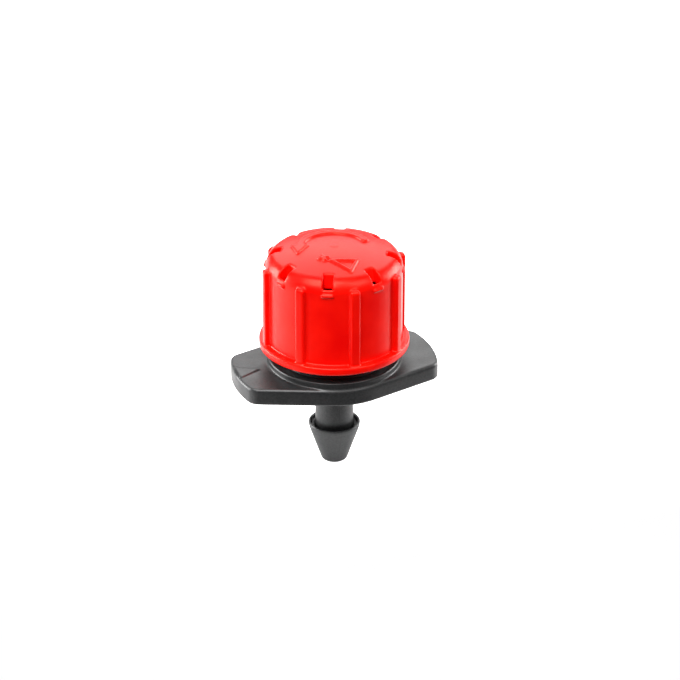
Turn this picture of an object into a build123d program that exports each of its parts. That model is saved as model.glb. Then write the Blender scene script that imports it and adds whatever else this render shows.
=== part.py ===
from build123d import *
import os
from math import asin, atan, cos, pi, radians, sin, sqrt, tan

# Adjustable drip emitter: a winged base with a barb and a hollow threaded post, a screw-on cap
# with eight outlet slots, and the seal ring between them.
#
# Frame: origin at the centre of the wing plate's underside, +Z up through the cap, +X along the
# wings. Millimetres. The cap is drawn at its usual working position, part of a turn open.

# --- wing plate ---------------------------------------------------------------------------
plate_length = 24.0  # over the curved ends of both wings
plate_thick = 2.0
plate_ledge = 0.25  # plate left outside the collar, where it is narrowest
wing_taper = 19.0  # degrees between a wing's long side and the X axis
wing_end_bulge = 0.8  # how far a wing's curved end stands out beyond its corners
wing_corner_r = 0.6
plate_edge_r = 0.4  # rounding of the plate's upper edge

collar_ledge = 1.2  # raised round land under the cap, outside the post's foot
collar_height = 0.8
collar_edge_r = 0.12

index_length = 2.7  # raised pointer on one wing, aimed at the cap
index_half_width = 1.45
index_height = 0.12
index_end_gap = 0.35  # from the pointer's base to the wing's end

# --- barb ---------------------------------------------------------------------------------
neck_r = 2.23
neck_length = 6.0  # from the plate down to the barb's crest
barb_step = 0.8  # how far the crest stands out from the neck
barb_crest_land = 0.4
barb_length = 5.0  # from the crest down to the tip
barb_tip_r = 1.45
barb_tip_round = 0.3
barb_cup_depth = 0.7  # groove behind the crest, which lets the lip spring
barb_lip = 0.27  # wall left outside that groove
bore_r = 0.9  # water way from the tip up through the post

# --- post ---------------------------------------------------------------------------------
foot_r = 6.5  # smooth foot that the seal ring wipes
post_top_chamfer = 0.3
post_roof = 1.4
post_wall = 1.2
riser_step = 0.37  # the tube inside the hollow post is this much thicker than the neck
orifice_step = 0.15  # how far the orifice narrows the bore
orifice_length = 0.55
seat_r = 1.5  # mouth of the 45 degree metering seat in the post's roof

# --- screw thread -------------------------------------------------------------------------
thread_lead = 2.4  # rise per turn, right-handed
thread_height = 0.5
thread_root_width = 1.0
thread_crest_width = 0.6
thread_gap = 0.15  # between the post's rib and the cap's
thread_relief = 0.05  # the rib's crest is this far inside the foot, so that the ring passes it
thread_sink = 0.2  # how far the roots of both ribs are buried in their walls

# --- cap travel ---------------------------------------------------------------------------
close_turns = 0.5  # from the drawn position down to shut
open_turns = 0.75  # and up to wide open
seat_gap = 0.05  # left between the metering cone and its seat when shut
chamber_height = 0.6  # left above the post when shut

# --- cap ----------------------------------------------------------------------------------
rim_gap = 1.47  # from the collar up to the cap's rim, as drawn
cap_height = 12.33  # rim to the middle of the crown
cap_wall = 0.68  # outside the seal's gland
flange_proud = 0.84
flange_height = 0.95
flange_edge_r = 0.2
dome_r = 28.0  # radius of the crown's surface
shoulder_r = 1.3  # rounding between the crown and the side wall
roof_thick = 1.6
bore_gap = 0.15  # from the foot to the cap's bore

rib_count = 8
rib_proud = 0.6
rib_width = 1.15
rib_edge_r = 0.22
rib_top_r = 0.45
rib_top_drop = 1.95  # from the crown's middle down to the ribs' rounded tops

slot_width = 1.15
slot_foot_in = 0.1  # a slot's foot is this far inside the bore's wall
slot_lean = 17.0  # degrees, of a slot's back wall toward the axis, going up
slot_depth = 0.35  # of a slot's floor below the chamber's ceiling
slot_wall = 0.43  # wall left outside the pocket at each slot's foot
pocket_depth = 0.95  # from a slot's floor down to its pocket's floor
chamber_chamfer = 0.5
lip_width = 1.36
lip_height = 0.41
lip_proud = 0.22
lip_drop = 0.45  # from a slot's floor down to the top of the bar below it

# --- metering needle ----------------------------------------------------------------------
pin_r = 1.3
needle_gap = 0.1  # between the needle and the orifice
needle_length = 3.0
needle_tip_r = 0.4

# --- seal ring ----------------------------------------------------------------------------
ring_section = 0.64  # radial thickness, squeezed in its gland
ring_height = 0.8
ring_edge_r = 0.3
ring_gap = 0.03
gland_play = 0.2  # the gland's height over the ring's
gland_rim_drop = 0.4  # from the gland down to the cap's rim

# --- marks on the crown -------------------------------------------------------------------
mark_height = 0.3
arrow_mid_r = 3.95
arrow_width = 1.0
arrow_head_length = 2.3
arrow_head_width = 2.1
arrow_start = 12.0  # degrees from +X, counter-clockwise, where the opening arrow's tail begins
arrow_end = 156.0  # and where its head begins
plus_size = 1.4
plus_stroke = 0.4
plus_place = (-2.05, -2.6)
pointer_place = (0.97, -5.1)  # middle of its base
pointer_length = 3.3
pointer_half_width = 1.4
pointer_stroke = 0.35
pointer_turn = 55.0  # degrees

# --- making of the shapes -----------------------------------------------------------------
root_sink = 0.3  # how deep ribs and bars are buried in the wall that they stand on
overcut = 1.0  # how far a cut runs past the surface

# --- radii that follow --------------------------------------------------------------------
thread_root_r = foot_r - thread_height - thread_relief
collar_r = foot_r + collar_ledge
plate_middle_r = collar_r + plate_ledge
core_r = foot_r - post_wall
riser_r = neck_r + riser_step
barb_crest_r = neck_r + barb_step
orifice_r = bore_r - orifice_step
cap_bore_r = foot_r + bore_gap
cap_thread_r = thread_root_r + thread_gap
gland_r = foot_r + ring_section + 2 * ring_gap
cap_r = gland_r + cap_wall
flange_r = cap_r + flange_proud
slot_foot_r = cap_bore_r - slot_foot_in
needle_r = orifice_r - needle_gap

# --- heights that follow ------------------------------------------------------------------
close_travel = close_turns * thread_lead
open_travel = open_turns * thread_lead
collar_top = plate_thick + collar_height
rim_z = collar_top + rim_gap
flange_top = rim_z + flange_height
crown_z = rim_z + cap_height
dome_centre = crown_z - dome_r
shoulder_z = dome_centre + sqrt((dome_r - shoulder_r) ** 2 - (cap_r - shoulder_r) ** 2)
shoulder_lean = asin((cap_r - shoulder_r) / (dome_r - shoulder_r))  # crown's slope at its edge
crown_edge_r = dome_r * sin(shoulder_lean)
crown_edge_z = dome_centre + dome_r * cos(shoulder_lean)
ceiling_z = crown_z - roof_thick
slot_floor = ceiling_z - slot_depth
gland_bottom = rim_z + gland_rim_drop
gland_top = gland_bottom + ring_height + gland_play
post_top = ceiling_z - close_travel - chamber_height
core_top = post_top - post_roof
foot_top = gland_top + open_travel + ring_gap  # the ring stays on the foot when wide open
thread_bottom = foot_top + foot_r - thread_root_r + thread_gap + thread_root_width / 2
thread_end = post_top - post_top_chamfer - thread_root_width / 2 - thread_relief
rib_turns = (thread_end - thread_bottom) / thread_lead
cap_thread_bottom = thread_bottom + thread_lead / 2  # midway between the post's turns
cap_thread_root_width = thread_lead - thread_crest_width - 2 * thread_gap
cap_thread_crest_width = thread_lead - thread_root_width - 2 * thread_gap
pocket_floor = slot_floor - pocket_depth
cap_thread_end = pocket_floor - thread_relief - cap_thread_root_width / 2
cap_thread_turns = (cap_thread_end - cap_thread_bottom) / thread_lead
# below this height the post's rib passes; above it the chamber is as narrow as the post allows
baffle_z = thread_end + thread_root_width / 2 + close_travel + thread_gap
crest_z = -neck_length
tip_z = crest_z - barb_length

os.makedirs("parts", exist_ok=True)


def seat_height(r):
    """Height of the metering seat's cone at radius r."""
    return post_top - (seat_r - r)


def cone_height(r):
    """Height of the cap's metering cone at radius r, as drawn."""
    return seat_height(r) + seat_gap + close_travel


def helical_rib(root_r, crest_r, root_width, crest_width, start, turns):
    """A solid helical rib of trapezoid section that runs up from the height start at angle 0."""
    with BuildPart() as rib:
        with BuildLine() as path:
            Helix(thread_lead, turns * thread_lead, root_r, center=(0, 0, start))
        with BuildSketch(Plane.XZ):
            with BuildLine():
                Polyline(
                    (root_r, start - root_width / 2),
                    (crest_r, start - crest_width / 2),
                    (crest_r, start + crest_width / 2),
                    (root_r, start + root_width / 2),
                    close=True,
                )
            make_face()
        sweep(path=path.line, is_frenet=True)
    return rib.part


# --- base ---------------------------------------------------------------------------------
taper = radians(wing_taper)
side_start = (plate_middle_r * sin(taper), plate_middle_r * cos(taper))
wing_corner_x = plate_length / 2 - wing_end_bulge
wing_corner_y = side_start[1] - (wing_corner_x - side_start[0]) * tan(taper)

post_rib = helical_rib(
    thread_root_r - thread_sink,
    thread_root_r + thread_height,
    thread_root_width,
    thread_crest_width,
    thread_bottom,
    rib_turns,
)

with BuildPart() as base:
    with BuildSketch():
        Circle(plate_middle_r)
        with BuildLine():
            Line(side_start, (wing_corner_x, wing_corner_y))
            ThreePointArc(
                (wing_corner_x, wing_corner_y),
                (plate_length / 2, 0),
                (wing_corner_x, -wing_corner_y),
            )
            Line((wing_corner_x, -wing_corner_y), (side_start[0], -side_start[1]))
            Line((side_start[0], -side_start[1]), side_start)
        make_face()
        mirror(about=Plane.YZ)
    extrude(amount=plate_thick)
    upright = base.edges().filter_by(Axis.Z)
    corners = upright.filter_by(lambda edge: abs(edge.center().X) > plate_middle_r)
    fillet(corners, wing_corner_r)
    fillet(base.faces().sort_by(Axis.Z)[-1].edges(), plate_edge_r)

    with BuildSketch(Plane.XY.offset(plate_thick - plate_edge_r)):
        Circle(collar_r)
    extrude(amount=plate_edge_r + collar_height)
    fillet(base.faces().sort_by(Axis.Z)[-1].edges(), collar_edge_r)

    index_base_x = index_end_gap - plate_length / 2
    with BuildSketch(Plane.XY.offset(plate_thick)):
        Polygon(
            (index_base_x, -index_half_width),
            (index_base_x + index_length, 0),
            (index_base_x, index_half_width),
            align=None,
        )
    extrude(amount=index_height)

    # post, neck and barb, turned in one profile
    with BuildSketch(Plane.XZ):
        with BuildLine():
            Polyline(
                (0, post_top),
                (thread_root_r - post_top_chamfer, post_top),
                (thread_root_r, post_top - post_top_chamfer),
                (thread_root_r, foot_top + foot_r - thread_root_r),
                (foot_r, foot_top),
                (foot_r, plate_thick / 2),
                (neck_r, plate_thick / 2),
                (neck_r, crest_z - barb_cup_depth),
                (barb_crest_r - barb_lip, crest_z - barb_cup_depth),
                (barb_crest_r - barb_lip, crest_z),
                (barb_crest_r, crest_z),
                (barb_crest_r, crest_z - barb_crest_land),
                (barb_tip_r, tip_z + barb_tip_round),
            )
            ThreePointArc(
                (barb_tip_r, tip_z + barb_tip_round),
                (
                    barb_tip_r - barb_tip_round * (1 - cos(radians(45))),
                    tip_z + barb_tip_round * (1 - sin(radians(45))),
                ),
                (barb_tip_r - barb_tip_round, tip_z),
            )
            Polyline((barb_tip_r - barb_tip_round, tip_z), (0, tip_z), (0, post_top))
        make_face()
    revolve(axis=Axis.Z)
    add(post_rib)

    # hollow of the post, open below, round the riser
    with BuildSketch(Plane.XY):
        Circle(core_r)
        Circle(riser_r, mode=Mode.SUBTRACT)
    extrude(amount=core_top, mode=Mode.SUBTRACT)

    # water way, orifice and metering seat
    with BuildSketch(Plane.XZ):
        with BuildLine():
            Polyline(
                (0, tip_z),
                (bore_r, tip_z),
                (bore_r, seat_height(orifice_r) - orifice_length),
                (orifice_r, seat_height(orifice_r) - orifice_length),
                (orifice_r, seat_height(orifice_r)),
                (seat_r, post_top),
                (0, post_top),
                close=True,
            )
        make_face()
    revolve(axis=Axis.Z, mode=Mode.SUBTRACT)

base.part.label = "barbed_base"
export_step(base.part, "parts/barbed_base.step")


# --- seal ring ----------------------------------------------------------------------------
ring_z = (gland_bottom + gland_top) / 2
with BuildPart() as ring:
    with BuildSketch(Plane.XZ):
        with Locations((foot_r + ring_gap + ring_section / 2, ring_z)):
            RectangleRounded(ring_section, ring_height, ring_edge_r)
    revolve(axis=Axis.Z)

ring.part.label = "seal_ring"
export_step(ring.part, "parts/seal_ring.step")


# --- adjusting cap ------------------------------------------------------------------------
cap_thread = helical_rib(
    cap_bore_r + thread_sink,
    cap_thread_r,
    cap_thread_root_width,
    cap_thread_crest_width,
    cap_thread_bottom,
    cap_thread_turns,
)

# outline of the pointer's open middle, one stroke inside its edges
pointer_apex = atan(pointer_half_width / pointer_length)
pointer_hole_top = pointer_length - pointer_stroke / sin(pointer_apex)
pointer_hole_half = (pointer_hole_top - pointer_stroke) * tan(pointer_apex)

shoulder_mid = (shoulder_lean + pi / 2) / 2  # direction of the rounding's middle, from +Z
arrow_neck = (arrow_mid_r * cos(radians(arrow_end)), arrow_mid_r * sin(radians(arrow_end)))

with BuildPart() as marks:
    with BuildSketch(Plane.XY.offset(crown_edge_z)):
        # arrow that shows which way opens the emitter
        SlotArc(
            CenterArc((0, 0), arrow_mid_r, arrow_start, arrow_end - arrow_start),
            height=arrow_width,
        )
        with Locations(Location(arrow_neck, arrow_end)):
            Polygon(
                (-arrow_head_width / 2, 0),
                (arrow_head_width / 2, 0),
                (0, arrow_head_length),
                align=None,
            )
        # plus sign at the opening side
        with Locations(plus_place):
            Rectangle(plus_size, plus_stroke)
            Rectangle(plus_stroke, plus_size)
        # outlined pointer
        with Locations(Location(pointer_place, pointer_turn)):
            Polygon(
                (-pointer_half_width, 0),
                (pointer_half_width, 0),
                (0, pointer_length),
                align=None,
            )
            Polygon(
                (-pointer_hole_half, pointer_stroke),
                (pointer_hole_half, pointer_stroke),
                (0, pointer_hole_top),
                align=None,
                mode=Mode.SUBTRACT,
            )
    extrude(amount=crown_z + overcut - crown_edge_z)
    # only what lies under the crown's surface, lifted by the marks' height, stays
    with BuildSketch(Plane.XZ):
        with BuildLine():
            Polyline(
                (0, crown_z + mark_height),
                (0, crown_edge_z),
                (crown_edge_r, crown_edge_z),
                (crown_edge_r, crown_edge_z + mark_height),
            )
            RadiusArc(
                (0, crown_z + mark_height),
                (crown_edge_r, crown_edge_z + mark_height),
                dome_r,
            )
        make_face()
    revolve(axis=Axis.Z, mode=Mode.INTERSECT)

with BuildPart() as cap_rib:
    with BuildSketch(Plane.XZ):
        with Locations((cap_r - root_sink, flange_top - root_sink)):
            Rectangle(
                rib_proud + root_sink,
                crown_z - rib_top_drop - flange_top + root_sink,
                align=(Align.MIN, Align.MIN),
            )
    extrude(amount=rib_width / 2, both=True)
    fillet(cap_rib.faces().sort_by(Axis.X)[-1].edges().filter_by(Axis.Z), rib_edge_r)
    fillet(cap_rib.faces().sort_by(Axis.Z)[-1].edges().sort_by(Axis.X)[-1], rib_top_r)

slot_top = crown_z + overcut
slot_top_r = slot_foot_r - (slot_top - baffle_z) * tan(radians(slot_lean))

with BuildPart() as slot:
    with BuildSketch(Plane.XZ):
        Polygon(
            (slot_foot_r, pocket_floor),
            (cap_r - slot_wall, pocket_floor),
            (cap_r - slot_wall, slot_floor),
            (flange_r, slot_floor),
            (flange_r, slot_top),
            (slot_top_r, slot_top),
            (slot_foot_r, baffle_z),
            align=None,
        )
    extrude(amount=slot_width / 2, both=True)

with BuildPart() as cap:
    with BuildSketch(Plane.XZ):
        with BuildLine():
            RadiusArc((0, crown_z), (crown_edge_r, crown_edge_z), dome_r)
            ThreePointArc(
                (crown_edge_r, crown_edge_z),
                (
                    cap_r - shoulder_r * (1 - sin(shoulder_mid)),
                    shoulder_z + shoulder_r * cos(shoulder_mid),
                ),
                (cap_r, shoulder_z),
            )
            Polyline(
                (cap_r, shoulder_z),
                (cap_r, flange_top),
                (flange_r - flange_edge_r, flange_top),
                (flange_r, flange_top - flange_edge_r),
                (flange_r, rim_z + flange_edge_r),
                (flange_r - flange_edge_r, rim_z),
                (cap_bore_r, rim_z),
                (cap_bore_r, gland_bottom),
                (gland_r, gland_bottom),
                (gland_r, gland_top),
                (cap_bore_r, gland_top),
                (cap_bore_r, baffle_z),
                (cap_thread_r, baffle_z),
                (cap_thread_r, ceiling_z - chamber_chamfer),
                (cap_thread_r - chamber_chamfer, ceiling_z),
                (pin_r, ceiling_z),
                (pin_r, cone_height(pin_r)),
                (needle_r, cone_height(needle_r)),
                (needle_tip_r, cone_height(needle_r) - needle_length),
                (0, cone_height(needle_r) - needle_length),
                (0, crown_z),
            )
        make_face()
    revolve(axis=Axis.Z)
    add(cap_thread)

    with PolarLocations(0, rib_count):
        add(cap_rib.part)

    # outlet slots through the crown's shoulder, each with a leaning back wall and a pocket at its
    # foot that opens into the chamber, and the bar below each
    with PolarLocations(0, rib_count, start_angle=180 / rib_count):
        add(slot.part, mode=Mode.SUBTRACT)
    with BuildSketch(Plane.XY.offset(slot_floor - lip_drop)):
        with PolarLocations(cap_r - root_sink, rib_count, start_angle=180 / rib_count):
            Rectangle(lip_proud + root_sink, lip_width, align=(Align.MIN, Align.CENTER))
    extrude(amount=-lip_height)
    add(marks.part)

cap.part.label = "adjusting_cap"
export_step(cap.part, "parts/adjusting_cap.step")
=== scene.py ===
from math import cos, pi, radians, sin, sqrt, tan

import bmesh
import bpy
import numpy as np
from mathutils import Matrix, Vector


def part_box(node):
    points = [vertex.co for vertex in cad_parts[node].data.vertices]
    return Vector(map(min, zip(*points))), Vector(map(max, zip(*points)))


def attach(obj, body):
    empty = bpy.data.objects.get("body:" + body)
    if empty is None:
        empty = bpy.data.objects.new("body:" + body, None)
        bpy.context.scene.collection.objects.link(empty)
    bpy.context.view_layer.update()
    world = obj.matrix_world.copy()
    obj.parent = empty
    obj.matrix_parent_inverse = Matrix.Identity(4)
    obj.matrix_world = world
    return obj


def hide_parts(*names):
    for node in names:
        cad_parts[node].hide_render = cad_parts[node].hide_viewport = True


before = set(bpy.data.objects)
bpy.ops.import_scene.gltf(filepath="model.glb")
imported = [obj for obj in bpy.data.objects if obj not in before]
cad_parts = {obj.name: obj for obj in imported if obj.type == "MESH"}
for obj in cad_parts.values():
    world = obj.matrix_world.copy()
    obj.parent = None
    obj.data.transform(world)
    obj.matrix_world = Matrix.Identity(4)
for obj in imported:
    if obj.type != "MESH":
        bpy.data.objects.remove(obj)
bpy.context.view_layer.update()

# An adjustable drip emitter: red screw cap, black winged base with a barb, rubber seal ring.
#
# The two mouldings are written as distance fields, in millimetres: negative inside the plastic,
# positive outside. Fields are joined and cut with rounded edges, as a mould leaves them, and then
# meshed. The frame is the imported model's: origin at the middle of the plate's underside, +Z up.

MM = 0.001
cap_low, cap_high = (Vector(corner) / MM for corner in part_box("adjusting_cap"))
base_low, base_high = (Vector(corner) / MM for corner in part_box("barbed_base"))
ring_low, ring_high = (Vector(corner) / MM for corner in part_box("seal_ring"))

# --- measures, in millimetres ---------------------------------------------------------------
cell = 0.1  # of the grid that the fields are sampled on
margin = 2.5 * cell  # of the grid, outside its piece's box
most_triangles = 190_000  # kept in one moulding's mesh

# cap, outside; an added shape reaches into the wall behind it by sunk
sunk = 0.5
flange_r = cap_high.x
rim_z = cap_low.z
flange_h = 0.95
flange_edge = 0.2
flange_proud = 0.84
wall_r = flange_r - flange_proud
cap_h = 12.33
crown_z = rim_z + cap_h
dome_r = 28.0
shoulder = 1.3
roof = 1.6
ceiling_z = crown_z - roof
gate_r = 0.45
gate_h = 0.03

# grip ribs, and outlet slots between them with a bar below each
rib_count = 8
rib_proud = 0.6
rib_width = 1.15
rib_foot_z = rim_z + 0.3
rib_top_z = crown_z - 1.95
rib_edge = 0.22
rib_end = 0.4
slot_width = 1.15
slot_floor_z = ceiling_z - 0.35
slot_foot_r = 6.55
slot_lean = radians(17)
pocket_r = wall_r - 0.43
pocket_floor_z = slot_floor_z - 0.95
lip_top_z = slot_floor_z - 0.45
lip_h = 0.41
lip_width = 1.36
lip_proud = 0.22

# inside the cap
bore_r = 6.65
chamber_r = 6.1
chamber_edge = 0.7
baffle_z = 14.2  # below it the bore, above it the narrower chamber
gland_r = 7.2
gland_low_z = rim_z + 0.4
gland_high_z = gland_low_z + 1.0
pin_r = 1.3
needle_r = 0.65
needle_tip_r = 0.4
needle_length = 3.0
seat_gap = 0.05  # along the axis, between the pin's cone and its seat when shut

# screw thread: the post's, then the cap's
thread_lead = 2.4
close_travel = thread_lead / 2  # half a turn, from the drawn position down to shut
thread_sunk = 0.4  # share of a thread's height that reaches into the wall behind it
thread_start_z = 8.7
thread_turns = 1.52
thread_root_r = 5.95
thread_crest_r = 6.45
thread_root_half = 0.5
thread_crest_half = 0.3
cap_thread_start_z = thread_start_z + thread_lead / 2  # midway between the post's turns
cap_thread_turns = 1.25
cap_thread_r = 6.1
cap_thread_root_half = 0.75
cap_thread_crest_half = 0.55

# raised marks on the crown: a curved arrow, a plus sign and an outlined pointer
mark_foot_z = ceiling_z + 0.5
mark_h = 0.3
arrow_r = 3.95
arrow_width = 1.0
arrow_start = radians(12)
arrow_end = radians(156)
arrow_head_half = 1.05
arrow_head_length = 2.3
plus_x = -2.05
plus_y = -2.6
plus_half = 0.7
plus_stroke_half = 0.2
pointer_base = Vector((0.97, -5.1))
pointer_half = 1.4
pointer_length = 3.3
pointer_stroke = 0.35
pointer_turn = radians(55)

# plate, collar and post
plate_half = base_high.x
plate_r = base_high.y
plate_h = 2.0
plate_mid_z = plate_h / 2
plate_edge = 0.4
wing_taper = radians(19)
wing_bulge = 0.8
wing_corner = 0.6
index_gap = 0.35  # from the wing's end to the raised pointer on it
index_length = 2.7
index_half = 1.45
index_h = 0.12
collar_r = plate_r - 0.25
collar_foot_z = 0.5
collar_top_z = 2.8
foot_r = 6.5
foot_top_z = 7.5
post_top_z = base_high.z
core_r = 5.3
core_top_z = post_top_z - 1.4
riser_r = 2.6
water_r = 0.9
orifice_r = 0.75
orifice_h = 0.55
seat_r = 1.5

# neck and barb
neck_r = 2.23
tip_z = base_low.z
crest_z = tip_z + 5.0
crest_r = 3.03
crest_land = 0.4
tip_r = 1.45
tip_edge = 0.3
cup_r = crest_r - 0.27
cup_z = crest_z - 0.7
neck_foot_z = cup_z - 1.0

# seal ring
ring_gap = 0.03  # between the post's foot and the ring
ring_edge = 0.28
ring_corner_steps = 6
ring_steps = 180

# camera, and the floor's grey part, which darkens the reflections in the object's front
camera_turn = radians(-17)
camera_rise = radians(27)
camera_distance = 370.0
camera_lens = 169.0
aim_right = 0.67
aim_z = 4.5
floor_half = 3000.0
floor_grey_y = -23.0
floor_white_y = -7.0


# --- distance fields ------------------------------------------------------------------------
class Grid:
    """Sample points of a box, with the turned coordinates that the fields need."""

    def __init__(self, low, high):
        axes = [
            np.arange(a - margin, b + margin, cell, dtype=np.float32)
            for a, b in zip(low, high)
        ]
        self.origin = np.array([axis[0] for axis in axes])
        self.x = axes[0][:, None, None]
        self.y = axes[1][None, :, None]
        self.z = axes[2][None, None, :]
        self.r = np.hypot(self.x, self.y)
        self.angle = np.arctan2(self.y, self.x)

    def folded(self, start):
        """Distance out and distance sideways from the nearest of rib_count spokes."""
        step = 2 * pi / rib_count
        turned = np.mod(self.angle - start + step / 2, step) - step / 2
        return self.r * np.cos(turned), np.abs(self.r * np.sin(turned))


def both(a, b, rounding=0.0):
    """Where a and b are both solid, with the edge between them rounded."""
    if not rounding:
        return np.maximum(a, b)
    corner = np.hypot(np.maximum(a + rounding, 0), np.maximum(b + rounding, 0))
    return corner + np.minimum(np.maximum(a, b), -rounding)


def either(a, b, rounding=0.0):
    """Where a or b is solid, with the inner corner between them filled."""
    return -both(-a, -b, rounding)


def band(value, low, high):
    """Between two values."""
    return np.abs(value - (low + high) / 2) - (high - low) / 2


def convex(x, y, corners):
    """A convex flat outline from its corners, counter-clockwise."""
    field = None
    for (ax, ay), (bx, by) in zip(corners, corners[1:] + corners[:1]):
        length = sqrt((bx - ax) ** 2 + (by - ay) ** 2)
        side = ((by - ay) * (x - ax) - (bx - ax) * (y - ay)) / length
        field = side if field is None else np.maximum(field, side)
    return field


def helix(grid, start_z, turns, root_r, crest_r, root_half, crest_half):
    """A rib of trapezoid section along a right-handed helix that starts on the +X side.

    The crest faces outward, or inward where crest_r is less than root_r."""
    centre = start_z + thread_lead * grid.angle / (2 * pi)
    off = np.mod(grid.z - centre + thread_lead / 2, thread_lead) - thread_lead / 2
    turn = (grid.z - off - start_z) / thread_lead
    height = (grid.r - root_r) / (crest_r - root_r)
    half = root_half + (crest_half - root_half) * height
    section = np.maximum(np.abs(off) - half, (height - 1) * abs(crest_r - root_r))
    root = (-thread_sunk - height) * abs(crest_r - root_r)
    ends = band(turn, 0, turns) * 2 * pi * crest_r
    return np.maximum(np.maximum(section, root), ends)


# --- cap ------------------------------------------------------------------------------------
def crown_marks(grid):
    """Outlines of the raised marks: the curved arrow, the plus sign and the pointer."""
    x, y = grid.x, grid.y
    start, end = arrow_start, arrow_end
    turned = np.mod(grid.angle, 2 * pi)
    on_arc = (turned >= start) & (turned <= end)
    tail = np.hypot(x - arrow_r * cos(start), y - arrow_r * sin(start))
    neck = np.hypot(x - arrow_r * cos(end), y - arrow_r * sin(end))
    arc = np.where(on_arc, np.abs(grid.r - arrow_r), np.minimum(tail, neck)) - arrow_width / 2

    out = Vector((cos(end), sin(end)))
    along = Vector((-sin(end), cos(end)))
    root = out * arrow_r
    head = convex(x, y, [
        tuple(root + out * arrow_head_half),
        tuple(root + along * arrow_head_length),
        tuple(root - out * arrow_head_half),
    ])

    across, up = np.abs(x - plus_x), np.abs(y - plus_y)
    plus = np.minimum(
        np.maximum(across - plus_half, up - plus_stroke_half),
        np.maximum(across - plus_stroke_half, up - plus_half),
    )

    out = Vector((cos(pointer_turn), sin(pointer_turn)))
    along = Vector((-out.y, out.x))
    triangle = convex(x, y, [
        tuple(pointer_base + out * pointer_half),
        tuple(pointer_base + along * pointer_length),
        tuple(pointer_base - out * pointer_half),
    ])
    pointer = np.abs(triangle + pointer_stroke / 2) - pointer_stroke / 2
    return np.minimum(np.minimum(arc, head), np.minimum(plus, pointer))


def cap_cavity(grid):
    """The space inside the cap: seal gland, threaded bore and chamber, less the needle."""
    r, z = grid.r, grid.z
    space = np.minimum(both(r - bore_r, z - baffle_z), both(r - chamber_r, z - ceiling_z, chamber_edge))
    space = np.minimum(space, both(r - gland_r, band(z, gland_low_z, gland_high_z)))
    thread = helix(
        grid,
        cap_thread_start_z,
        cap_thread_turns,
        bore_r,
        cap_thread_r,
        cap_thread_root_half,
        cap_thread_crest_half,
    )
    space = both(space, -thread, 0.08)
    cone_z = post_top_z - seat_r + seat_gap + close_travel
    pin = both(r - pin_r, (cone_z + r - z) / sqrt(2))
    slope = (needle_r - needle_tip_r) / needle_length
    needle_base_z = cone_z + needle_r
    needle = r - needle_r - slope * (z - needle_base_z)
    needle = both(needle, band(z, needle_base_z - needle_length, ceiling_z), 0.1)
    needle = np.maximum(needle, r - pin_r)
    return both(space, -np.minimum(pin, needle), 0.1)


def cap_field(grid):
    """The adjusting cap: shell, flange, ribs, bars, slots, marks and the space inside."""
    r, z = grid.r, grid.z
    dome = np.sqrt(r**2 + (z - crown_z + dome_r) ** 2) - dome_r
    body = both(r - wall_r, dome, shoulder)
    flange = both(r - flange_r, band(z, rim_z, rim_z + flange_h), flange_edge)
    body = either(both(body, rim_z - z), flange, 0.12)

    # grip ribs
    out, side = grid.folded(0)
    rib = both(side - rib_width / 2, out - wall_r - rib_proud, rib_edge)
    rib = both(rib, z - rib_top_z, rib_end)
    rib = np.maximum(rib, np.maximum(wall_r - sunk - out, rib_foot_z - z))
    body = either(body, rib, 0.1)

    # bars below the outlet slots, then the slots
    out, side = grid.folded(pi / rib_count)
    lip = both(side - lip_width / 2, out - wall_r - lip_proud, 0.1)
    lip = both(lip, band(z, lip_top_z - lip_h, lip_top_z), 0.12)
    body = either(body, np.maximum(lip, wall_r - sunk - out), 0.05)
    back = slot_foot_r - out - tan(slot_lean) * np.maximum(z - baffle_z, 0)
    slot = np.maximum(side - slot_width / 2, back * cos(slot_lean))
    floor_z = np.where(out < pocket_r, pocket_floor_z, slot_floor_z)
    slot = np.maximum(slot, floor_z - z)
    body = both(body, -slot, 0.08)

    # raised marks, and the small scar that the mould's gate leaves at the centre
    raised = np.sqrt(r**2 + (z - crown_z - mark_h + dome_r) ** 2) - dome_r
    marks = both(crown_marks(grid), raised, 0.07)
    marks = np.maximum(marks, mark_foot_z - z)
    body = either(body, marks, 0.05)
    gate = both(r - gate_r, z - crown_z - gate_h, gate_h)
    body = either(body, np.maximum(gate, ceiling_z - z), 0.05)
    return both(body, -cap_cavity(grid), 0.06)


# --- base -----------------------------------------------------------------------------------
def wing_outline(grid):
    """The plate seen from above: a round middle and two tapering wings with curved ends."""
    x, y = np.abs(grid.x), np.abs(grid.y)
    side = x * sin(wing_taper) + y * cos(wing_taper) - plate_r
    corner_x = plate_half - wing_bulge
    corner_y = (plate_r - corner_x * sin(wing_taper)) / cos(wing_taper)
    end_r = (corner_y**2 + wing_bulge**2) / (2 * wing_bulge)
    end = np.hypot(x - plate_half + end_r, y) - end_r
    wing = both(side, end, wing_corner)
    return np.where(x < plate_r * sin(wing_taper), grid.r - plate_r, wing)


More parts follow.
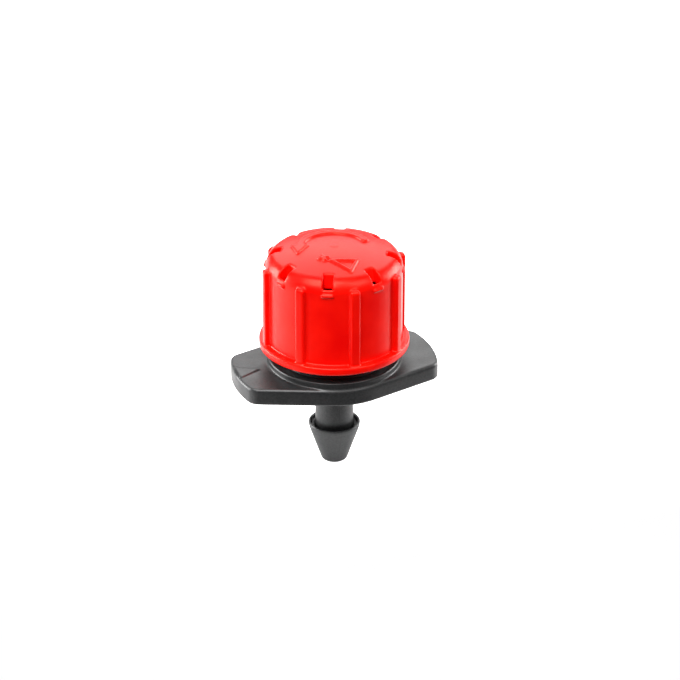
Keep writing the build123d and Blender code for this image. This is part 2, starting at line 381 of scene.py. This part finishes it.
def base_field(grid):
    """The barbed base: plate, collar, post with its thread, neck, barb and water way."""
    r, z = grid.r, grid.z
    outline = wing_outline(grid)
    plate = both(both(outline, z - plate_h, plate_edge), -z, 0.1)
    collar = both(r - collar_r, z - collar_top_z, 0.12)
    plate = either(plate, np.maximum(collar, collar_foot_z - z), 0.15)

    # pointer on the left wing
    tail_x = index_gap - plate_half
    corners = [(tail_x, -index_half), (tail_x + index_length, 0), (tail_x, index_half)]
    pointer = both(convex(grid.x, grid.y, corners), z - plate_h - index_h, 0.05)
    plate = either(plate, np.maximum(pointer, plate_mid_z - z), 0.05)

    # post with its thread
    foot = both(r - foot_r, (r + z - foot_top_z - foot_r) / sqrt(2), 0.05)
    stem = both(r - thread_root_r, z - post_top_z, 0.25)
    rib = helix(
        grid,
        thread_start_z,
        thread_turns,
        thread_root_r,
        thread_crest_r,
        thread_root_half,
        thread_crest_half,
    )
    post = np.maximum(either(np.minimum(foot, stem), rib, 0.06), plate_mid_z - z)
    body = either(plate, post, 0.05)

    # hollow round the riser, open below
    hollow = both(band(r, riser_r, core_r), z - core_top_z, 0.25)
    body = both(body, -hollow, 0.1)

    # neck and barb
    neck = np.maximum(r - neck_r, band(z, neck_foot_z, plate_mid_z))
    slope = (crest_r - tip_r) / (crest_z - crest_land - tip_z)
    lean = sqrt(1 + slope**2)
    cone = (r - tip_r - slope * (z - tip_z)) / lean
    barb = both(both(cone, r - crest_r, 0.08), tip_z - z, tip_edge)
    barb = both(barb, z - crest_z, 0.06)
    cup = both(r - cup_r, cup_z - z, 0.12)
    barb = both(barb, -cup, 0.06)
    body = either(body, either(neck, barb, 0.06), 0.12)

    # water way, orifice and metering seat
    water = both(r - water_r, z - post_top_z + seat_r - orifice_r + orifice_h)
    seat = np.minimum(r - orifice_r, (r + post_top_z - seat_r - z) / sqrt(2))
    bore = np.minimum(water, seat)
    return both(body, -bore, 0.06)


# --- meshing --------------------------------------------------------------------------------
def softened(field):
    """The field after a light blur, which rounds every edge that is still sharp."""
    for axis in range(3):
        middle = [slice(None)] * 3
        before, after = list(middle), list(middle)
        middle[axis], before[axis], after[axis] = slice(1, -1), slice(None, -2), slice(2, None)
        blurred = field.copy()
        blurred[tuple(middle)] = (
            0.5 * field[tuple(middle)] + 0.25 * (field[tuple(before)] + field[tuple(after)])
        )
        field = blurred
    return field


def surface_net(field, origin):
    """Corner points and four-sided faces of the surface where the field is zero."""
    inside = field < 0
    count = np.zeros([n - 1 for n in field.shape], dtype=np.int8)
    corners = [(i, j, k) for i in (0, 1) for j in (0, 1) for k in (0, 1)]
    shape = count.shape
    for i, j, k in corners:
        count += inside[i : i + shape[0], j : j + shape[1], k : k + shape[2]]
    active = (count > 0) & (count < 8)
    number = np.full(shape, -1, dtype=np.int32)
    at = np.argwhere(active)
    number[active] = np.arange(len(at), dtype=np.int32)

    total = np.zeros((len(at), 3))
    hits = np.zeros(len(at))
    for axis in range(3):
        step = np.eye(3, dtype=int)[axis]
        for corner in corners:
            if corner[axis]:
                continue
            first = at + corner
            second = first + step
            a = field[first[:, 0], first[:, 1], first[:, 2]]
            b = field[second[:, 0], second[:, 1], second[:, 2]]
            crossed = (a < 0) != (b < 0)
            share = np.where(crossed, a / np.where(crossed, a - b, 1), 0)
            place = np.array(corner) + share[:, None] * step
            total += place * crossed[:, None]
            hits += crossed
    points = origin + (at + total / hits[:, None]) * cell

    faces = []
    for axis in range(3):
        u, v = (axis + 1) % 3, (axis + 2) % 3
        ahead = [slice(None)] * 3
        behind = list(ahead)
        ahead[axis], behind[axis] = slice(1, None), slice(None, -1)
        edge = np.argwhere(inside[tuple(ahead)] != inside[tuple(behind)])
        edge = edge[(edge[:, u] > 0) & (edge[:, v] > 0)]
        edge = edge[(edge[:, u] < shape[u]) & (edge[:, v] < shape[v])]
        ring = []
        for du, dv in ((1, 1), (0, 1), (0, 0), (1, 0)):
            near = edge.copy()
            near[:, u] -= du
            near[:, v] -= dv
            ring.append(number[near[:, 0], near[:, 1], near[:, 2]])
        quads = np.stack(ring, axis=1)
        outward = inside[edge[:, 0], edge[:, 1], edge[:, 2]]
        quads[~outward] = quads[~outward][:, ::-1]
        faces.append(quads)
    return points, np.concatenate(faces)


def field_normals(field, origin, points):
    """Outward directions at the points: the ways in which the field rises."""
    place = (points - origin) / cell
    low = np.clip(place.astype(int), 0, np.array(field.shape) - 2)
    part = place - low
    normals = np.zeros_like(points)
    slopes = np.gradient(field)
    for corner in np.ndindex(2, 2, 2):
        weight = np.prod(np.where(corner, part, 1 - part), axis=1)
        at = tuple((low + corner).T)
        for axis, slope in enumerate(slopes):
            normals[:, axis] += weight * slope[at]
    return normals / np.linalg.norm(normals, axis=1, keepdims=True)


def mesh_object(name, points, faces):
    """A smooth-shaded object from points in millimetres and faces of four corners."""
    mesh = bpy.data.meshes.new(name)
    mesh.vertices.add(len(points))
    mesh.vertices.foreach_set("co", (points * MM).astype(np.float32).ravel())
    mesh.loops.add(4 * len(faces))
    mesh.loops.foreach_set("vertex_index", faces.astype(np.int32).ravel())
    mesh.polygons.add(len(faces))
    mesh.polygons.foreach_set("loop_start", np.arange(0, 4 * len(faces), 4, dtype=np.int32))
    mesh.update(calc_edges=True)
    mesh.validate()
    mesh.shade_smooth()
    made = bpy.data.objects.new(name, mesh)
    bpy.context.scene.collection.objects.link(made)
    return made


def apply_modifiers(made):
    """Give the object the mesh that its modifiers make."""
    depsgraph = bpy.context.evaluated_depsgraph_get()
    final = bpy.data.meshes.new_from_object(made.evaluated_get(depsgraph))
    made.modifiers.clear()
    made.data = final


def moulding(name, field_of, low, high):
    """A moulded piece: its field, meshed, thinned to most_triangles and shaded by the field."""
    grid = Grid(low, high)
    field = softened(np.ascontiguousarray(field_of(grid), dtype=np.float32))
    points, faces = surface_net(field, grid.origin)
    made = mesh_object(name, points, faces)
    triangles = 2 * len(faces)
    if triangles > most_triangles:
        thin = made.modifiers.new("thin", "DECIMATE")
        thin.ratio = most_triangles / triangles
        apply_modifiers(made)
    kept = np.empty(3 * len(made.data.vertices), dtype=np.float32)
    made.data.vertices.foreach_get("co", kept)
    normals = field_normals(field, grid.origin, kept.reshape(-1, 3).astype(float) / MM)
    made.data.normals_split_custom_set_from_vertices(normals)
    return made


def seal_ring_object(name):
    """The ring, turned from a section with rounded edges."""
    inner_r = foot_r + ring_gap
    section_half = Vector(((ring_high.x - inner_r) / 2, (ring_high.z - ring_low.z) / 2))
    middle_r = ring_high.x - section_half.x
    middle_z = (ring_high.z + ring_low.z) / 2
    section = []
    for quarter in range(4):
        turn = quarter * pi / 2
        sign_x, sign_z = (1 if quarter in (0, 3) else -1), (1 if quarter in (0, 1) else -1)
        for k in range(ring_corner_steps + 1):
            angle = turn + k * pi / (2 * ring_corner_steps)
            section.append((
                middle_r + sign_x * (section_half.x - ring_edge) + ring_edge * cos(angle),
                middle_z + sign_z * (section_half.y - ring_edge) + ring_edge * sin(angle),
            ))
    points, faces = [], []
    for step in range(ring_steps):
        turn = 2 * pi * step / ring_steps
        points += [(r * cos(turn), r * sin(turn), z) for r, z in section]
    around = len(section)
    for step in range(ring_steps):
        here, there = step * around, (step + 1) % ring_steps * around
        for k in range(around):
            after = (k + 1) % around
            faces.append((here + k, there + k, there + after, here + after))
    return mesh_object(name, np.array(points), np.array(faces))


# --- materials ------------------------------------------------------------------------------
def new_material(name):
    """A material, its nodes, its links and its main shader."""
    material = bpy.data.materials.new(name)
    material.use_nodes = True
    nodes, links = material.node_tree.nodes, material.node_tree.links
    return material, nodes, links, nodes["Principled BSDF"]


def object_points(nodes):
    return nodes.new("ShaderNodeTexCoord").outputs["Object"]


def noise(nodes, links, points, size, detail=2.0, stretch=(1, 1, 1), roughness=0.5):
    """Noise whose blobs are about size millimetres, stretched along the axes by stretch."""
    mapping = nodes.new("ShaderNodeMapping")
    mapping.inputs["Scale"].default_value = [1 / factor for factor in stretch]
    links.new(points, mapping.inputs["Vector"])
    texture = nodes.new("ShaderNodeTexNoise")
    texture.inputs["Scale"].default_value = 1 / (size * MM)
    texture.inputs["Detail"].default_value = detail
    texture.inputs["Roughness"].default_value = roughness
    links.new(mapping.outputs["Vector"], texture.inputs["Vector"])
    return texture.outputs["Fac"]


def spread(nodes, links, value, low, high, start=0.3, stop=0.7):
    """value, spread from low to high."""
    node = nodes.new("ShaderNodeMapRange")
    node.inputs["From Min"].default_value = start
    node.inputs["From Max"].default_value = stop
    node.inputs["To Min"].default_value = low
    node.inputs["To Max"].default_value = high
    links.new(value, node.inputs["Value"])
    return node.outputs["Result"]


def blended(nodes, links, value, low, high, start=0.3, stop=0.7):
    """A colour between low and high, by value."""
    ramp = nodes.new("ShaderNodeValToRGB")
    ramp.color_ramp.elements[0].position = start
    ramp.color_ramp.elements[0].color = (*low, 1)
    ramp.color_ramp.elements[1].position = stop
    ramp.color_ramp.elements[1].color = (*high, 1)
    links.new(value, ramp.inputs["Fac"])
    return ramp.outputs["Color"]


def bump(nodes, links, value, height, strength=1.0, under=None):
    """Relief of value, height millimetres deep, over the relief under."""
    node = nodes.new("ShaderNodeBump")
    node.inputs["Distance"].default_value = height * MM
    node.inputs["Strength"].default_value = strength
    links.new(value, node.inputs["Height"])
    if under:
        links.new(under, node.inputs["Normal"])
    return node.outputs["Normal"]


def red_plastic():
    """Red polypropylene, semi-gloss: clouding, a fine grain and duller streaks up the wall."""
    material, nodes, links, shader = new_material("red_polypropylene")
    points = object_points(nodes)
    cloud = noise(nodes, links, points, 3.5, detail=3)
    grain = noise(nodes, links, points, 0.16, detail=3)
    drawn = noise(nodes, links, points, 0.3, detail=0, stretch=(1, 1, 14))
    colour = blended(nodes, links, cloud, (0.70, 0.0, 0.0), (0.80, 0.004, 0.001))
    links.new(colour, shader.inputs["Base Color"])
    links.new(spread(nodes, links, drawn, 0.28, 0.34), shader.inputs["Roughness"])
    relief = bump(nodes, links, cloud, 0.05, 0.5)
    relief = bump(nodes, links, grain, 0.008, 0.6, relief)
    links.new(relief, shader.inputs["Normal"])
    shader.inputs["IOR"].default_value = 1.49
    shader.inputs["Specular IOR Level"].default_value = 0.2
    shader.inputs["Specular Tint"].default_value = (1.0, 0.85, 0.62, 1)
    return material


def black_plastic():
    """Black polypropylene, satin: speckled grain, and the mould's parting line along x = 0."""
    material, nodes, links, shader = new_material("black_polypropylene")
    points = object_points(nodes)
    speckle = noise(nodes, links, points, 0.22, detail=3, roughness=0.65)
    cloud = noise(nodes, links, points, 2.5, detail=2)
    colour = blended(nodes, links, speckle, (0.005, 0.0053, 0.0056), (0.020, 0.0205, 0.021))
    place = nodes.new("ShaderNodeSeparateXYZ")
    links.new(points, place.inputs["Vector"])
    distance = nodes.new("ShaderNodeMath")
    distance.operation = "ABSOLUTE"
    links.new(place.outputs["X"], distance.inputs[0])
    seam = spread(nodes, links, distance.outputs["Value"], 1, 0, 0.03 * MM, 0.1 * MM)
    shade = nodes.new("ShaderNodeMixRGB")
    shade.inputs["Color2"].default_value = (0.008, 0.008, 0.009, 1)
    links.new(seam, shade.inputs["Fac"])
    links.new(colour, shade.inputs["Color1"])
    links.new(shade.outputs["Color"], shader.inputs["Base Color"])
    links.new(spread(nodes, links, cloud, 0.34, 0.46), shader.inputs["Roughness"])
    relief = bump(nodes, links, speckle, 0.02, 0.55)
    relief = bump(nodes, links, cloud, 0.05, 0.3, relief)
    relief = bump(nodes, links, seam, 0.02, 0.4, relief)
    links.new(relief, shader.inputs["Normal"])
    shader.inputs["IOR"].default_value = 1.49
    return material


def seal_rubber():
    """Dull black rubber with moulding dust."""
    material, nodes, links, shader = new_material("seal_rubber")
    points = object_points(nodes)
    dust = noise(nodes, links, points, 0.3, detail=4)
    colour = blended(nodes, links, dust, (0.012, 0.012, 0.012), (0.035, 0.035, 0.036))
    links.new(colour, shader.inputs["Base Color"])
    links.new(spread(nodes, links, dust, 0.6, 0.78), shader.inputs["Roughness"])
    links.new(bump(nodes, links, dust, 0.01, 0.5), shader.inputs["Normal"])
    return material


def floor_material():
    """Matt white near the object and grey in front of it; white all over for the camera."""
    material, nodes, links, shader = new_material("studio_floor")
    place = nodes.new("ShaderNodeSeparateXYZ")
    links.new(object_points(nodes), place.inputs["Vector"])
    near = spread(nodes, links, place.outputs["Y"], 0, 1, floor_grey_y * MM, floor_white_y * MM)
    colour = blended(nodes, links, near, (0.04, 0.04, 0.04), (0.85, 0.85, 0.85), 0, 1)
    links.new(colour, shader.inputs["Base Color"])
    shader.inputs["Roughness"].default_value = 0.9
    shader.inputs["Specular IOR Level"].default_value = 0.0
    shader.inputs["Emission Color"].default_value = (1, 1, 1, 1)
    seen = nodes.new("ShaderNodeLightPath")
    links.new(
        spread(nodes, links, seen.outputs["Is Camera Ray"], 0, 0.9, 0, 1),
        shader.inputs["Emission Strength"],
    )
    return material


# --- camera and light -----------------------------------------------------------------------
def direction(around, rise):
    """A level direction, around from -Y toward +X, tilted up by rise."""
    return Vector((sin(around) * cos(rise), -cos(around) * cos(rise), sin(rise)))


def add_camera():
    """A long lens that looks down at the object from its front left."""
    data = bpy.data.cameras.new("camera")
    data.lens = camera_lens
    data.sensor_width = 36
    data.clip_start = 0.01
    camera = bpy.data.objects.new("camera", data)
    way = direction(camera_turn, camera_rise)
    right = direction(camera_turn + pi / 2, 0)
    target = right * aim_right * MM + Vector((0, 0, aim_z * MM))
    camera.location = target + way * (camera_distance * MM)
    camera.rotation_euler = (-way).to_track_quat("-Z", "Y").to_euler()
    bpy.context.scene.collection.objects.link(camera)
    bpy.context.scene.camera = camera


def add_softbox(name, azimuth, elevation, distance, width, height, radiance):
    """A rectangular light in millimetres; azimuth is measured from the camera, to its right."""
    data = bpy.data.lights.new(name, "AREA")
    data.shape = "RECTANGLE"
    data.size = width * MM
    data.size_y = height * MM
    data.energy = pi * data.size * data.size_y * radiance
    light = bpy.data.objects.new(name, data)
    way = direction(camera_turn + radians(azimuth), radians(elevation))
    light.location = way * distance * MM
    light.rotation_euler = (-way).to_track_quat("-Z", "Y").to_euler()
    bpy.context.scene.collection.objects.link(light)


def add_world(background, fill):
    """White behind the object, and a softer even light from all round."""
    world = bpy.data.worlds.new("studio")
    world.use_nodes = True
    nodes, links = world.node_tree.nodes, world.node_tree.links
    shader = nodes["Background"]
    seen = nodes.new("ShaderNodeLightPath")
    strength = nodes.new("ShaderNodeMapRange")
    strength.inputs["To Min"].default_value = fill
    strength.inputs["To Max"].default_value = background
    links.new(seen.outputs["Is Camera Ray"], strength.inputs["Value"])
    links.new(strength.outputs["Result"], shader.inputs["Strength"])
    shader.inputs["Color"].default_value = (1, 1, 1, 1)
    bpy.context.scene.world = world


def add_floor():
    """A level floor at the barb's tip."""
    bm = bmesh.new()
    bmesh.ops.create_grid(bm, x_segments=8, y_segments=8, size=floor_half * MM)
    mesh = bpy.data.meshes.new("floor")
    bm.to_mesh(mesh)
    bm.free()
    floor = bpy.data.objects.new("floor", mesh)
    floor.location.z = tip_z * MM
    floor.data.materials.append(floor_material())
    bpy.context.scene.collection.objects.link(floor)


# --- the pieces -----------------------------------------------------------------------------
cap = moulding("cap_moulding", cap_field, cap_low, cap_high)
cap.data.materials.append(red_plastic())
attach(cap, "cap")
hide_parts("adjusting_cap")

base = moulding("base_moulding", base_field, base_low, base_high)
base.data.materials.append(black_plastic())
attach(base, "base")
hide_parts("barbed_base")

ring = seal_ring_object("seal_ring_piece")
ring.data.materials.append(seal_rubber())
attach(ring, "seal")
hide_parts("seal_ring")

add_camera()
add_world(background=1.0, fill=0.08)
add_floor()
add_softbox("key", azimuth=-28, elevation=58, distance=450, width=330, height=330, radiance=11.0)
add_softbox("front", azimuth=50, elevation=46, distance=500, width=250, height=250, radiance=6.0)
add_softbox("left", azimuth=-106, elevation=2, distance=400, width=240, height=360, radiance=18.0)
add_softbox("right", azimuth=116, elevation=4, distance=400, width=220, height=300, radiance=12.5)
add_softbox("back", azimuth=180, elevation=42, distance=450, width=500, height=420, radiance=3.1)

bpy.context.scene.view_settings.view_transform = "Standard"
bpy.context.scene.view_settings.look = "None"
